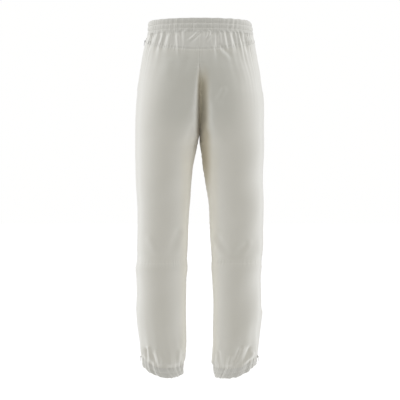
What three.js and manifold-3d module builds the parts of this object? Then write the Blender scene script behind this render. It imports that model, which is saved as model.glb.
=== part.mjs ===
// Ski pants with an elastic waistband, side pocket zips, a back yoke, a seam below the knee and elastic ankle cuffs with zips.
// Millimetres, +Z up. The front faces -Y, the back +Y, and the wearer's left leg is at +X. The hems stand at Z 0.
// The fabric is a thin shell round each leg. A leg's section at a height is an ellipse about the leg's own centre line;
// above the crotch it is cut at the middle plane, so the two legs meet along the seat seam and the fly seam.
import * as THREE from "three";
import { mergeVertices } from "three/addons/utils/BufferGeometryUtils.js";
import Module from "manifold-3d";

const wasm = await Module();
wasm.setup();

// ---------------------------------------------------------------- driving dimensions
const LENGTH = 1050; // waistband's top edge to the hem
const MIDDLE_Y = -11; // puts the middle of the whole depth at Y 0
const GAP = 0.25; // half of the gap kept between sewn pieces
const FABRIC = 1.6; // shell fabric with its seam allowance
const BAND_LOW = 1008; // waistband's lower edge
const BAND_WALL = 1.3;
const ELASTIC = 1.4;
const YOKE_MID = 957; // yoke seam at the centre back
const YOKE_SIDE = 990; // yoke seam at the side seams
const HIP_BACK_LOW = 660; // where the thigh's stiff part starts
const HIP_FRONT_LOW = 640;
const THIGH_BACK_LOW = 560; // where the knee's soft part starts
const THIGH_FRONT_LOW = 500;
const KNEE_SEAM = 340; // seam below the knee
const CUFF_TOP = 30; // cuff's height, where its lower edge stands at 0
const HEM_LIFT = 35; // how far the hem rises at the side seam, where the zip ends
const ZIP_SLOT = 7.2; // half width of the slot a zip is sewn into
const POCKET_ZIP = { top: [155.2, 1002], low: [181.2, 850] }; // the zip's line in X and Z
const ANKLE_ZIP = { top: [184.0, 196], low: [166.6, 38] };
const TABLE = [
  // z, outer x, inner x, depth in front, depth behind, centre y
  [1050, 147, -147, 98, 100, 0],
  [1030, 149, -149, 99, 102, 0],
  [1008, 152, -152, 100, 104, 0],
  [990, 157, -156, 101, 109, 0],
  [967, 163, -160, 103, 116, 0],
  [943, 167, -160, 105, 123, 0],
  [920, 170.5, -150, 107, 128, 0],
  [897, 174, -129, 109, 131, 0],
  [873, 176.5, -105, 110, 132, 0],
  [850, 179, -82, 110, 131, 0],
  [827, 181.5, -62, 110, 128.5, 0],
  [804, 183, -45, 109, 124.5, 0],
  [780, 184, -31, 107, 119, 0],
  [757, 185, -19, 105, 114, 0],
  [734, 186, -9.5, 102, 110, 0],
  [710, 187, -2, 100, 106, 0],
  [700, 187, 0.4, 99, 105, 0],
  [687, 187, 3, 97.5, 103.5, 0],
  [664, 187, 8, 95, 101, 0],
  [618, 186, 15, 91, 96, -1],
  [548, 185, 24, 85, 89, -3],
  [478, 184.5, 31, 80, 83, -5],
  [408, 184, 35.5, 76, 78, -5],
  [338, 183, 38, 72, 76, -4],
  [268, 182.5, 39.3, 69, 75, -2],
  [199, 183, 39.5, 67, 73, 0],
  [152, 181, 39.8, 66, 71, 0],
  [105, 177, 40.5, 64, 67, 0],
  [59, 169, 42, 60, 61, 0],
  [30, 163, 44, 57, 57, 0],
  [0, 153, 48, 51, 51, 0],
];

// ---------------------------------------------------------------- sections
const rows = [...TABLE].sort((p, q) => p[0] - q[0]);
const slopes = rows[0].map((_, c) => {
  const d = rows
    .slice(1)
    .map((r, i) => (r[c] - rows[i][c]) / (r[0] - rows[i][0]));
  return rows.map((_, i) => {
    if (i === 0) return d[0];
    if (i === rows.length - 1) return d[i - 1];
    if (d[i - 1] * d[i] <= 0) return 0;
    return (2 * d[i - 1] * d[i]) / (d[i - 1] + d[i]);
  });
});
function at(z, c) {
  const zz = Math.min(LENGTH, Math.max(0, z));
  let i = 0;
  while (i < rows.length - 2 && rows[i + 1][0] < zz) i++;
  const h = rows[i + 1][0] - rows[i][0],
    t = (zz - rows[i][0]) / h;
  const t2 = t * t,
    t3 = t2 * t;
  return (
    (2 * t3 - 3 * t2 + 1) * rows[i][c] +
    (t3 - 2 * t2 + t) * h * slopes[c][i] +
    (3 * t2 - 2 * t3) * rows[i + 1][c] +
    (t3 - t2) * h * slopes[c][i + 1]
  );
}
function section(z) {
  const outer = at(z, 1),
    inner = at(z, 2);
  return {
    cx: (outer + inner) / 2,
    a: (outer - inner) / 2,
    bf: at(z, 3),
    bb: at(z, 4),
    cy: at(z, 5) + MIDDLE_Y,
  };
}
// The largest angle from the side seam before the section meets the middle plane or the inseam.
function reach(z) {
  const s = section(z);
  const b = Math.min(s.bf, s.bb);
  const plane = Math.acos(Math.max(-1, Math.min(1, (GAP - s.cx) / s.a)));
  return Math.min(Math.PI - GAP / b, plane);
}
// A point of a leg's shell. th is 0 at the side seam, positive behind; inset is the depth below the outer face.
function leg(th, z, inset, side) {
  const s = section(z),
    b = th > 0 ? s.bb : s.bf;
  let nx = Math.cos(th) / s.a,
    ny = Math.sin(th) / b;
  const n = Math.hypot(nx, ny);
  nx /= n;
  ny /= n;
  const x = s.cx + s.a * Math.cos(th) - nx * inset;
  return [
    side * Math.max(x, s.cx > 0 && Math.cos(th) < 0 ? GAP * 0.8 : -1e9),
    s.cy + b * Math.sin(th) - ny * inset,
    z,
  ];
}

// The hem isn't level: it rises towards the zip in the side seam.
const hemLift = (th) => HEM_LIFT * ((1 + Math.cos(th)) / 2) ** 4;

// ---------------------------------------------------------------- solids
function geometry(points, faces, flip) {
  const pos = new Float32Array(points.length * 3);
  points.forEach((p, i) => pos.set(p, i * 3));
  const g = new THREE.BufferGeometry();
  g.setAttribute("position", new THREE.BufferAttribute(pos, 3));
  g.setIndex(faces.flatMap(([a, b, c]) => (flip ? [a, c, b] : [a, b, c])));
  return g;
}
// A closed slab from two grids of points, [row][column], the outer one and the inner one.
function slab(outer, inner, flip) {
  const m = outer.length,
    n = outer[0].length;
  const points = [...outer.flat(), ...inner.flat()],
    faces = [];
  const o = (i, j) => i * n + j,
    k = (i, j) => m * n + i * n + j;
  const quad = (a, b, c, d) => faces.push([a, b, c], [a, c, d]);
  for (let i = 0; i < m - 1; i++)
    for (let j = 0; j < n - 1; j++) {
      quad(o(i, j), o(i + 1, j), o(i + 1, j + 1), o(i, j + 1));
      quad(k(i, j), k(i, j + 1), k(i + 1, j + 1), k(i + 1, j));
    }
  for (let j = 0; j < n - 1; j++) {
    quad(o(0, j), o(0, j + 1), k(0, j + 1), k(0, j));
    quad(o(m - 1, j + 1), o(m - 1, j), k(m - 1, j), k(m - 1, j + 1));
  }
  for (let i = 0; i < m - 1; i++) {
    quad(o(i + 1, 0), o(i, 0), k(i, 0), k(i + 1, 0));
    quad(o(i, n - 1), o(i + 1, n - 1), k(i + 1, n - 1), k(i, n - 1));
  }
  return geometry(points, faces, flip);
}
function solid(g) {
  const p = g.index ? g.toNonIndexed() : g.clone();
  for (const k of ["normal", "uv"]) p.deleteAttribute(k);
  const m = mergeVertices(p, 1e-4);
  const made = new wasm.Manifold(
    new wasm.Mesh({
      numProp: 3,
      vertProperties: m.attributes.position.array,
      triVerts: new Uint32Array(m.index.array),
    }),
  );
  return made;
}
function back(s) {
  const m = s.getMesh(),
    v = new Float32Array(m.numVert * 3);
  for (let i = 0; i < m.numVert; i++)
    v.set(
      m.vertProperties.subarray(i * m.numProp, i * m.numProp + 3),
      i * 3,
    );
  const g = new THREE.BufferGeometry();
  g.setAttribute("position", new THREE.BufferAttribute(v, 3));
  g.setIndex(new THREE.BufferAttribute(m.triVerts, 1));
  return g;
}
const mirrored = (g) => {
  const p = g.index ? g.toNonIndexed() : g.clone();
  for (const k of ["normal", "uv"]) p.deleteAttribute(k);
  const a = p.attributes.position.array;
  for (let i = 0; i < a.length; i += 9) {
    for (const k of [0, 3, 6]) a[i + k] = -a[i + k];
    for (let c = 0; c < 3; c++) {
      const t = a[i + 3 + c];
      a[i + 3 + c] = a[i + 6 + c];
      a[i + 6 + c] = t;
    }
  }
  return p;
};

// ---------------------------------------------------------------- slots for the zips in the side seams
const inSlot = (z) =>
  (z < POCKET_ZIP.top[1] + 1.2 && z > POCKET_ZIP.low[1] - 1.2) ||
  z < ANKLE_ZIP.top[1] + 1.2;
function seamAngle(z, behind) {
  const s = section(z),
    b = behind ? s.bb : s.bf;
  return (inSlot(z) ? ZIP_SLOT : GAP) / b;
}

// One fabric panel of a leg, on the front or the back, between two heights. low and high are numbers or functions of the share from side seam to inner edge.
function panel({ behind, low, high, cols = 8, stops = [], step = 62, inset = 0, thick = FABRIC }) {
  const zl = typeof low === "function" ? low : () => low,
    zh = typeof high === "function" ? high : () => high;
  const t = [0, 1];
  const l0 = zl(0),
    h0 = zh(0);
  for (const z of stops)
    if (z > l0 + 2 && z < h0 - 2) t.push((h0 - z) / (h0 - l0));
  t.sort((p, q) => p - q);
  for (let i = 0; i < t.length - 1; i++) {
    const parts = Math.ceil(((t[i + 1] - t[i]) * (h0 - l0)) / step),
      from = t[i],
      each = (t[i + 1] - from) / parts;
    for (let k = 1; k < parts; k++) t.splice(i + k, 0, from + each * k);
    i += parts - 1;
  }
  const grid = (depth) =>
    t.map((share) =>
      Array.from({ length: cols + 1 }, (_, j) => {
        const s = j / cols;
        const z = zh(s) + (zl(s) - zh(s)) * share;
        const a0 = seamAngle(z, behind),
          a1 = reach(z);
        const th = (behind ? 1 : -1) * (a0 + (a1 - a0) * s);
        return leg(th, z, depth, 1);
      }),
    );
  return slab(grid(inset), grid(inset + thick), !behind);
}

// A closed profile of [inset, z] points swept round from one angle to another, on one leg.
function sweep(profile, from, to, steps) {
  const n = profile.length,
    points = [],
    faces = [];
  for (let i = 0; i <= steps; i++) {
    const th = from + ((to - from) * i) / steps;
    for (const [inset, z] of profile) points.push(around(th, z, inset));
  }
  for (let i = 0; i < steps; i++)
    for (let j = 0; j < n; j++) {
      const a = i * n + j,
        b = i * n + ((j + 1) % n),
        c = (i + 1) * n + ((j + 1) % n),
        d = (i + 1) * n + j;
      faces.push([a, b, c], [a, c, d]);
    }
  const shape = profile.map(([x, y]) => new THREE.Vector2(x, y));
  const wound = (a, b, c) =>
    THREE.ShapeUtils.area([a, b, c].map((i) => shape[i])) * THREE.ShapeUtils.area(shape) > 0;
  const last = steps * n;
  for (const [a, b, c] of THREE.ShapeUtils.triangulateShape(shape, [])) {
    const [p, q, r] = wound(a, b, c) ? [a, b, c] : [a, c, b];
    faces.push([r, q, p]);
    faces.push([last + p, last + q, last + r]);
  }
  const g = geometry(points, faces, false);
  return solid(g).volume() < 0 ? geometry(points, faces, true) : g;
}
let around = null;
// Round the whole waist, 0 at the left side seam, positive behind.
const aroundWaist = (th, z, inset) => {
  const s = section(z),
    b = Math.sin(th) > 0 ? s.bb : s.bf;
  let nx = Math.cos(th) / at(z, 1),
    ny = Math.sin(th) / b;
  const n = Math.hypot(nx, ny);
  return [
    at(z, 1) * Math.cos(th) - (nx / n) * inset,
    s.cy + b * Math.sin(th) - (ny / n) * inset,
    z,
  ];
};
// Round one leg, following the hem.
const aroundLeg = (th, level, inset) => {
  const z = level + hemLift(th);
  const s = section(z),
    b = Math.sin(th) > 0 ? s.bb : s.bf;
  let nx = Math.cos(th) / s.a,
    ny = Math.sin(th) / b;
  const n = Math.hypot(nx, ny);
  return [
    s.cx + s.a * Math.cos(th) - (nx / n) * inset,
    s.cy + b * Math.sin(th) - (ny / n) * inset,
    z,
  ];
};

// ---------------------------------------------------------------- materials
const colour = (hex, roughness, metalness = 0) =>
  new THREE.MeshStandardMaterial({ color: hex, roughness, metalness });
const SHELL = colour(0xd8d5cc, 0.75),
  LINING = colour(0xcfccc4, 0.85),
  RUBBER = colour(0xe6e4de, 0.7),
  TAPE = colour(0xcdcac2, 0.8),
  COIL = colour(0xc6c4bd, 0.45),
  METAL = colour(0x8a8a88, 0.35, 0.9);
const group = new THREE.Group();
function add(name, g, material) {
  g.computeVertexNormals();
  const mesh = new THREE.Mesh(g, material);
  mesh.name = name;
  group.add(mesh);
}
function both(name, g, material) {
  add("left_" + name, g, material);
  add("right_" + name, mirrored(g), material);
}

// ---------------------------------------------------------------- waistband, elastic and drawcord eyelets
const w = BAND_WALL,
  e0 = w + 0.6,
  e1 = e0 + ELASTIC,
  i0 = e1 + 0.6,
  i1 = i0 + w;
const casing = [
  [0, LENGTH],
  [i1, LENGTH],
  [i1, BAND_LOW],
  [i0, BAND_LOW],
  [i0, LENGTH - w],
  [w, LENGTH - w],
  [w, BAND_LOW],
  [0, BAND_LOW],
];
around = aroundWaist;
const sideGap = GAP / 100;
add("waistband_back", sweep(casing, sideGap, Math.PI - sideGap, 26), SHELL);
const EYELET_X = 24,
  EYELET_Z = 1029;
function eyeletPlace(x) {
  const s = section(EYELET_Z);
  const th = -Math.acos(x / at(EYELET_Z, 1));
  const p = aroundWaist(th, EYELET_Z, 0),
    q = aroundWaist(th, EYELET_Z, 1);
  const out = new THREE.Vector3(p[0] - q[0], p[1] - q[1], p[2] - q[2]).normalize();
  return new THREE.Matrix4().compose(
    new THREE.Vector3(...p),
    new THREE.Quaternion().setFromUnitVectors(new THREE.Vector3(0, 1, 0), out),
    new THREE.Vector3(1, 1, 1),
  );
}
let frontBand = solid(sweep(casing, -sideGap, -Math.PI + sideGap, 26));
for (const side of [1, -1]) {
  const hole = new THREE.CylinderGeometry(4.6, 4.6, 3.0, 14);
  hole.applyMatrix4(eyeletPlace(side * EYELET_X));
  frontBand = frontBand.subtract(solid(hole));
}
add("waistband_front", back(frontBand), SHELL);
const eyelet = new THREE.LatheGeometry(
  [
    [3.0, -1.25],
    [4.2, -1.25],
    [4.2, 0.45],
    [6.6, 0.35],
    [6.8, 0.7],
    [6.0, 1.15],
    [3.6, 1.2],
    [3.0, 0.9],
    [3.0, -1.25],
  ].map(([x, y]) => new THREE.Vector2(x, y)),
  14,
);
for (const [name, side] of [
  ["left", 1],
  ["right", -1],
]) {
  const g = eyelet.clone().applyMatrix4(eyeletPlace(side * EYELET_X));
  let s = solid(g);
  if (s.volume() < 0) {
    const ix = g.index.array;
    for (let i = 0; i < ix.length; i += 3) [ix[i], ix[i + 1]] = [ix[i + 1], ix[i]];
    s = solid(g);
  }
  add(name + "_drawcord_eyelet", back(s), METAL);
}
{
  // the elastic is a closed ring in the casing
  const steps = 52,
    low = BAND_LOW + 4,
    high = LENGTH - w - 0.4;
  const profile = [
    [e0, high],
    [e1, high],
    [e1, low],
    [e0, low],
  ];
  const points = [],
    faces = [];
  for (let i = 0; i < steps; i++)
    for (const [d, z] of profile)
      points.push(aroundWaist((2 * Math.PI * i) / steps, z, d));
  for (let i = 0; i < steps; i++)
    for (let j = 0; j < 4; j++) {
      const a = i * 4 + j,
        b = i * 4 + ((j + 1) % 4),
        c = ((i + 1) % steps) * 4 + ((j + 1) % 4),
        d = ((i + 1) % steps) * 4 + j;
      faces.push([a, b, c], [a, c, d]);
    }
  const g = geometry(points, faces, false);
  add(
    "waist_elastic",
    solid(g).volume() < 0 ? geometry(points, faces, true) : g,
    RUBBER,
  );
}

// ---------------------------------------------------------------- yoke across the back, in one piece
{
  const cols = 10,
    t = [0, 0.14, 0.5, 1];
  const yokeLow = (s) => YOKE_MID + (YOKE_SIDE - YOKE_MID) * s * s;
  const grid = (depth) =>
    t.map((share) =>
      Array.from({ length: 2 * cols + 1 }, (_, j) => {
        const s = j / cols - 1; // -1 at the right side seam, 1 at the left
        const high = BAND_LOW - 2 * GAP,
          z = high + (yokeLow(Math.abs(s)) - high) * share;
        const sec = section(z);
        const full = Math.acos(Math.max(-1, -sec.cx / sec.a)),
          edge = seamAngle(z, true);
        const th = full + (edge - full) * Math.abs(s);
        const p = leg(th, z, depth, 1);
        return [j === cols ? 0 : Math.sign(s) * p[0], p[1], p[2]];
      }),
    );
  add("back_yoke", slab(grid(0), grid(FABRIC), true), SHELL);
}

// ---------------------------------------------------------------- seat and hips: the fabric that folds as the hip bends
const seatHigh = (s) => YOKE_MID + (YOKE_SIDE - YOKE_MID) * (1 - s) * (1 - s) - 2 * GAP;
const zipStops = [
  POCKET_ZIP.top[1] + 2,
  POCKET_ZIP.top[1],
  POCKET_ZIP.low[1],
  POCKET_ZIP.low[1] - 2,
];
both(
  "seat_panel",
  panel({ behind: true, low: HIP_BACK_LOW, high: seatHigh, cols: 8, step: 44, stops: zipStops }),
  SHELL,
);
both(
  "hip_front_panel",
  panel({
    behind: false,
    low: HIP_FRONT_LOW,
    high: BAND_LOW - 2 * GAP,
    cols: 8,
    step: 44,
    stops: zipStops,
  }),
  SHELL,
);

// ---------------------------------------------------------------- thighs, knees and calves
const thighs = { cols: 8, step: 50 };
both("thigh_back_panel", panel({ behind: true, low: THIGH_BACK_LOW, high: HIP_BACK_LOW - 2 * GAP, ...thighs }), SHELL);
both("thigh_front_panel", panel({ behind: false, low: THIGH_FRONT_LOW, high: HIP_FRONT_LOW - 2 * GAP, ...thighs }), SHELL);
both("knee_back_panel", panel({ behind: true, low: KNEE_SEAM, high: THIGH_BACK_LOW - 2 * GAP, cols: 8, step: 60 }), SHELL);
both("knee_front_panel", panel({ behind: false, low: KNEE_SEAM, high: THIGH_FRONT_LOW - 2 * GAP, cols: 8, step: 60 }), SHELL);
const ankleStops = [ANKLE_ZIP.top[1] + 2, ANKLE_ZIP.top[1]];
for (const [name, behind] of [
  ["calf_back_panel", true],
  ["calf_front_panel", false],
])
  both(
    name,
    panel({ behind, low: (s) => CUFF_TOP + hemLift(s * Math.PI), high: KNEE_SEAM - 2 * GAP, cols: 8, step: 62, stops: ankleStops }),
    SHELL,
  );

// ---------------------------------------------------------------- ankle cuffs: a casing turned up at the hem, with elastic in it, open at the zip
around = aroundLeg;
const cuffFrom = ZIP_SLOT / 50,
  cuffTo = 2 * Math.PI - ZIP_SLOT / 50;
both(
  "cuff_casing",
  sweep(
    [
      [0, 0],
      [i1, 0],
      [i1, CUFF_TOP - 2 * GAP],
      [i0, CUFF_TOP - 2 * GAP],
      [i0, w],
      [w, w],
      [w, CUFF_TOP - 2 * GAP],
      [0, CUFF_TOP - 2 * GAP],
    ],
    cuffFrom,
    cuffTo,
    28,
  ),
  SHELL,
);
both(
  "cuff_elastic",
  sweep(
    [
      [e0, w + 0.4],
      [e1, w + 0.4],
      [e1, CUFF_TOP - 4],
      [e0, CUFF_TOP - 4],
    ],
    cuffFrom,
    cuffTo,
    28,
  ),
  RUBBER,
);

// ---------------------------------------------------------------- zips
// Each zip is made flat: X out of the fabric, Y across the zip, Z up along it from 0 to its length. Then it is laid on its line.
function zipPlace(line) {
  const low = new THREE.Vector3(line.low[0], MIDDLE_Y, line.low[1]),
    high = new THREE.Vector3(line.top[0], MIDDLE_Y, line.top[1]);
  const up = high.clone().sub(low),
    length = up.length();
  up.normalize();
  const across = new THREE.Vector3(0, 1, 0),
    out = new THREE.Vector3().crossVectors(across, up).normalize();
  const m = new THREE.Matrix4().makeBasis(out, across, up).setPosition(low);
  return { m, length, up, out };
}
function box(x0, x1, y0, y1, z0, z1) {
  const g = new THREE.BoxGeometry(x1 - x0, y1 - y0, z1 - z0);
  g.translate((x0 + x1) / 2, (y0 + y1) / 2, (z0 + z1) / 2);
  return g;
}
function rounded(x0, x1, width, z0, z1, r) {
  // a plate in Y and Z with round corners, from x0 to x1
  const s = new THREE.Shape();
  const y = width / 2;
  s.moveTo(-y + r, z0);
  s.lineTo(y - r, z0);
  s.absarc(y - r, z0 + r, r, -Math.PI / 2, 0);
  s.lineTo(y, z1 - r);
  s.absarc(y - r, z1 - r, r, 0, Math.PI / 2);
  s.lineTo(-y + r, z1);
  s.absarc(-y + r, z1 - r, r, Math.PI / 2, Math.PI);
  s.lineTo(-y, z0 + r);
  s.absarc(-y + r, z0 + r, r, Math.PI, 1.5 * Math.PI);
  const g = new THREE.ExtrudeGeometry(s, {
    depth: x1 - x0,
    bevelEnabled: false,
    curveSegments: 2,
  });
  // the shape's X is across the zip, its Y is along it, and it is extruded out of the fabric
  g.applyMatrix4(
    new THREE.Matrix4().makeBasis(
      new THREE.Vector3(0, 1, 0),
      new THREE.Vector3(0, 0, 1),
      new THREE.Vector3(1, 0, 0),
    ),
  );
  g.translate(x0, 0, 0);
  return g;
}
const SLIDER_LONG = 9,
  PIN_OUT = 4.9;
function slider() {
  const s = new THREE.Shape();
  [
    [1.4, -4.2],
    [1.4, -2.0],
    [2.4, -2.0],
    [2.4, 2.0],
    [1.4, 2.0],
    [1.4, 4.2],
    [2.7, 4.2],
    [3.2, 3.6],
    [3.2, -3.6],
    [2.7, -4.2],
  ].forEach(([x, y], i) => (i ? s.lineTo(x, y) : s.moveTo(x, y)));
  const g = new THREE.ExtrudeGeometry(s, { depth: SLIDER_LONG, bevelEnabled: false });
  g.translate(0, 0, -SLIDER_LONG / 2);
  let body = solid(g);
  for (const side of [-1, 1])
    body = body.add(solid(box(3.0, 5.6, side > 0 ? 1.9 : -2.8, side > 0 ? 2.8 : -1.9, -0.9, 0.9)));
  const bar = new THREE.CylinderGeometry(0.6, 0.6, 5, 8);
  bar.translate(PIN_OUT, 0, 0);
  return back(body.add(solid(bar)));
}
// hang turns the tab outwards about its pin, so that it hangs plumb on a zip that leans.
function pullTab(hang) {
  let tab = solid(rounded(PIN_OUT - 0.5, PIN_OUT + 0.5, 5.0, -13.5, -2.0, 1.5));
  tab = tab.add(solid(rounded(PIN_OUT - 0.5, PIN_OUT + 0.5, 3.0, -4.4, 0.4, 0.6)));
  const eye = new THREE.CylinderGeometry(1.45, 1.45, 3.0, 10);
  eye.translate(PIN_OUT, 0, 0);
  tab = tab.add(solid(eye));
  const hole = new THREE.CylinderGeometry(0.9, 0.9, 6, 8);
  hole.translate(PIN_OUT, 0, 0);
  tab = tab.subtract(solid(hole));
  tab = tab.subtract(solid(rounded(PIN_OUT - 2, PIN_OUT + 2, 2.2, -11.9, -8.4, 0.9)));
  return back(tab).translate(-PIN_OUT, 0, 0).rotateY(-hang).translate(PIN_OUT, 0, 0);
}
function zip(name, line, closedAt) {
  const { m, length } = zipPlace(line);
  const put = (g) => {
    const p = g.index ? g.toNonIndexed() : g.clone();
    for (const k of ["normal", "uv"]) p.deleteAttribute(k);
    return p.applyMatrix4(m);
  };
  both(name + "_zip_tape_back", put(box(0, 0.9, 1.95, 6.6, 0, length)), TAPE);
  both(name + "_zip_tape_front", put(box(0, 0.9, -6.6, -1.95, 0, length)), TAPE);
  // the two rows of coil, meshed into one chain, with an end stop at each end
  let chain = solid(box(0, 1.7, -1.6, 1.6, 2, length - 2));
  for (const z of [0.4, length - 3.4])
    chain = chain.add(solid(box(0, 2.1, -1.6, 1.6, z, z + 3)));
  both(name + "_zip_chain", put(back(chain)), COIL);
  const moved = (g) => put(g.clone().translate(0, 0, closedAt));
  both(name + "_zip_slider", moved(slider()), METAL);
  const lean = Math.atan2(line.top[0] - line.low[0], line.top[1] - line.low[1]);
  both(name + "_zip_pull", moved(pullTab(Math.max(0, lean))), METAL);
}
zip("pocket", POCKET_ZIP, 144);
zip("ankle", ANKLE_ZIP, 23);

// ---------------------------------------------------------------- pocket bags inside the hips, open towards the zips
{
  const bag = (low, high, front, from, to) => {
    const grid = (depth) =>
      [0, 0.33, 0.67, 1].map((share) =>
        Array.from({ length: 7 }, (_, j) => {
          const z = high + (low - high) * share;
          const s = j / 6,
            b = section(z).bf;
          const th = -(front / b + (0.95 - front / b) * s);
          return leg(th, z, depth, 1);
        }),
      );
    return slab(grid(from), grid(to), true);
  };
  const outside = solid(bag(800, 998, 9.5, 4.6, 8.2)),
    inside = solid(
      (() => {
        const grid = (depth) =>
          [0, 0.33, 0.67, 1].map((share) =>
            Array.from({ length: 7 }, (_, j) => {
              const z = 995 + (803 - 995) * share;
              const s = j / 6,
                b = section(z).bf;
              const th = -(6 / b + (0.92 - 6 / b) * s);
              return leg(th, z, depth, 1);
            }),
          );
        return slab(grid(5.4), grid(7.4), true);
      })(),
    );
  both("pocket_bag", back(outside.subtract(inside)), LINING);
}
// ---------------------------------------------------------------- wind flaps behind the ankle zips
{
  const high = ANKLE_ZIP.top[1] - 3,
    low = 72;
  const grid = (depth) =>
    [0, 0.33, 0.67, 1].map((share) =>
      Array.from({ length: 7 }, (_, j) => {
        const z = high + (low - high) * share;
        return leg(((j / 3 - 1) * 13) / section(z).bb, z, depth, 1);
      }),
    );
  both("ankle_wind_flap", slab(grid(6.8), grid(8.0), false), LINING);
}

export default group;
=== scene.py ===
import math
import bmesh
import bpy
import numpy as np
from mathutils import Matrix, Vector


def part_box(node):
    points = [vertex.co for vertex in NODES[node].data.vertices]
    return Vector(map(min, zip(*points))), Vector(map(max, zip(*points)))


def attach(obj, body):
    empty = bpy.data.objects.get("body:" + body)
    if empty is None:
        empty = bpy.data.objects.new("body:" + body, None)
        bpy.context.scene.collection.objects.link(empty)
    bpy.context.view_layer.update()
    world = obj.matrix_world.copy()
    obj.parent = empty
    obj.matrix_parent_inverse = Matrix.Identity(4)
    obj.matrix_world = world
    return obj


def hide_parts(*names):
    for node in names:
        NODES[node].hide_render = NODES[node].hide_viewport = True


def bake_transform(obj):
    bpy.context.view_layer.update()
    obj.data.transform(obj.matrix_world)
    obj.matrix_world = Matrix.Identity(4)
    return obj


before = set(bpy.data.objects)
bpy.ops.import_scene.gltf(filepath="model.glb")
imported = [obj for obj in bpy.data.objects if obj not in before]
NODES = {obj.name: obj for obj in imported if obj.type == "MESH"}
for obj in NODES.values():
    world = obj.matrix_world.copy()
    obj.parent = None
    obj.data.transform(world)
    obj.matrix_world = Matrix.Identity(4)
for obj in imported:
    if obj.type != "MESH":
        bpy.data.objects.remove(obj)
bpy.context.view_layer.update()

MM = 0.001
MID_Y = -11.0
rng = np.random.default_rng(7)

# ---------------------------------------------------------------- the garment's form, in mm
# z, depth in front, depth behind, centre y
DEPTH = np.array([
    [1050, 98, 100, 0], [1030, 99, 102, 0], [1008, 100, 104, 0], [990, 101, 109, 0], [967, 103, 116, 0],
    [943, 105, 123, 0], [920, 107, 128, 0], [897, 109, 131, 0], [873, 110, 132, 0], [850, 110, 131, 0],
    [827, 110, 128.5, 0], [804, 109, 124.5, 0], [780, 107, 119, 0], [757, 105, 114, 0], [734, 102, 110, 0],
    [710, 100, 106, 0], [687, 97.5, 103.5, 0], [664, 95, 101, 0], [618, 91, 96, -1], [548, 85, 89, -3],
    [478, 80, 83, -5], [408, 76, 78, -5], [338, 72, 76, -4], [268, 69, 75, -2], [199, 67, 73, 0],
    [152, 66, 71, 0], [105, 64, 67, 0], [59, 60, 61, 0], [30, 57, 57, 0], [0, 51, 51, 0]], float)[::-1]
# z, outer x and inner x of each leg, as distances from the middle plane towards that leg's own side
OUTER = {
    1: np.array([[1050, 146.5], [1040, 148.5], [1026, 149.5], [1008, 150.5], [990, 155.5], [967, 162], [943, 167.5],
                 [920, 171], [897, 174.5], [873, 177], [850, 179.5], [827, 181.8], [804, 184], [780, 185.4], [757, 186.6],
                 [720, 187.4], [690, 187.6], [650, 187.2], [618, 186], [560, 184.8], [500, 183.4], [450, 183],
                 [400, 184], [366, 185.6], [340, 186.2], [315, 187.4], [290, 186.4], [250, 185.6], [199, 187],
                 [175, 186.4], [152, 184.6], [128, 181.5], [105, 178], [82, 174.6], [59, 171], [38, 169.5], [20, 165.5],
                 [0, 150]], float)[::-1],
    -1: np.array([[1050, 147], [1040, 151], [1026, 154], [1008, 156.5], [990, 160], [967, 164.5], [943, 169.5],
                  [920, 173.5], [897, 177.5], [873, 179.5], [850, 182.5], [827, 186.2], [804, 187.5], [780, 187.8],
                  [757, 187.8], [720, 187.8], [690, 187.6], [650, 187.6], [618, 187.6], [560, 187.8], [500, 189.2],
                  [450, 189.4], [400, 188.4], [366, 186.6], [340, 183.4], [315, 181.6], [290, 181], [250, 180.6],
                  [199, 180.4], [175, 180], [152, 178.2], [128, 176], [105, 174.4], [82, 170.6], [59, 166.5],
                  [38, 163.6], [20, 158], [0, 148]], float)[::-1],
}
INNER = {
    1: np.array([[1050, -147], [1030, -149], [1008, -152], [990, -156], [967, -160], [943, -160], [920, -150],
                 [897, -129], [873, -105], [850, -82], [827, -62], [804, -45], [780, -30], [757, -18], [734, -6],
                 [710, 1], [690, 5.5], [664, 10.5], [641, 15], [618, 18.8], [595, 20.4], [560, 23.8], [525, 26.6],
                 [490, 30.6], [450, 33], [408, 35], [366, 36.2], [320, 37], [280, 39.4], [240, 39.8], [199, 39.4],
                 [152, 39], [105, 39], [75, 41], [52, 45.6], [30, 48], [12, 49], [0, 50]], float)[::-1],
    -1: np.array([[1050, -147], [1030, -149], [1008, -152], [990, -156], [967, -160], [943, -160], [920, -150],
                  [897, -129], [873, -105], [850, -82], [827, -62], [804, -45], [780, -32], [757, -21], [734, -11],
                  [710, -4.5], [690, 0.2], [664, 4.5], [641, 7.8], [618, 11], [595, 15.5], [560, 20], [525, 25],
                  [490, 28.8], [450, 31.4], [408, 33], [366, 33.8], [320, 36.5], [280, 37.6], [240, 38.6], [199, 39.4],
                  [152, 40], [105, 39.5], [75, 37.5], [52, 38.8], [30, 41.8], [12, 43.5], [0, 45]], float)[::-1],
}
CROTCH = 700.0
HEM_LIFT = 35.0
BAND_LOW = 1008.0
YOKE_MID, YOKE_SIDE = 957.0, 990.0
CUT = 560.0
KNEE_SEAM = 340.0
CUFF = 30.0


def smooth_curve(table, column):
    """A monotone cubic through the table's points."""
    x, y = table[:, 0], table[:, column]
    h, d = np.diff(x), np.diff(y) / np.diff(x)
    m = np.zeros_like(y)
    same = d[:-1] * d[1:] > 0
    m[1:-1][same] = 2 * d[:-1][same] * d[1:][same] / (d[:-1][same] + d[1:][same])
    m[0], m[-1] = d[0], d[-1]

    def f(q):
        q = np.clip(np.asarray(q, float), x[0], x[-1])
        i = np.clip(np.searchsorted(x, q) - 1, 0, len(h) - 1)
        t = (q - x[i]) / h[i]
        return ((2 * t**3 - 3 * t**2 + 1) * y[i] + (t**3 - 2 * t**2 + t) * h[i] * m[i]
                + (3 * t**2 - 2 * t**3) * y[i + 1] + (t**3 - t**2) * h[i] * m[i + 1])
    return f


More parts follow.
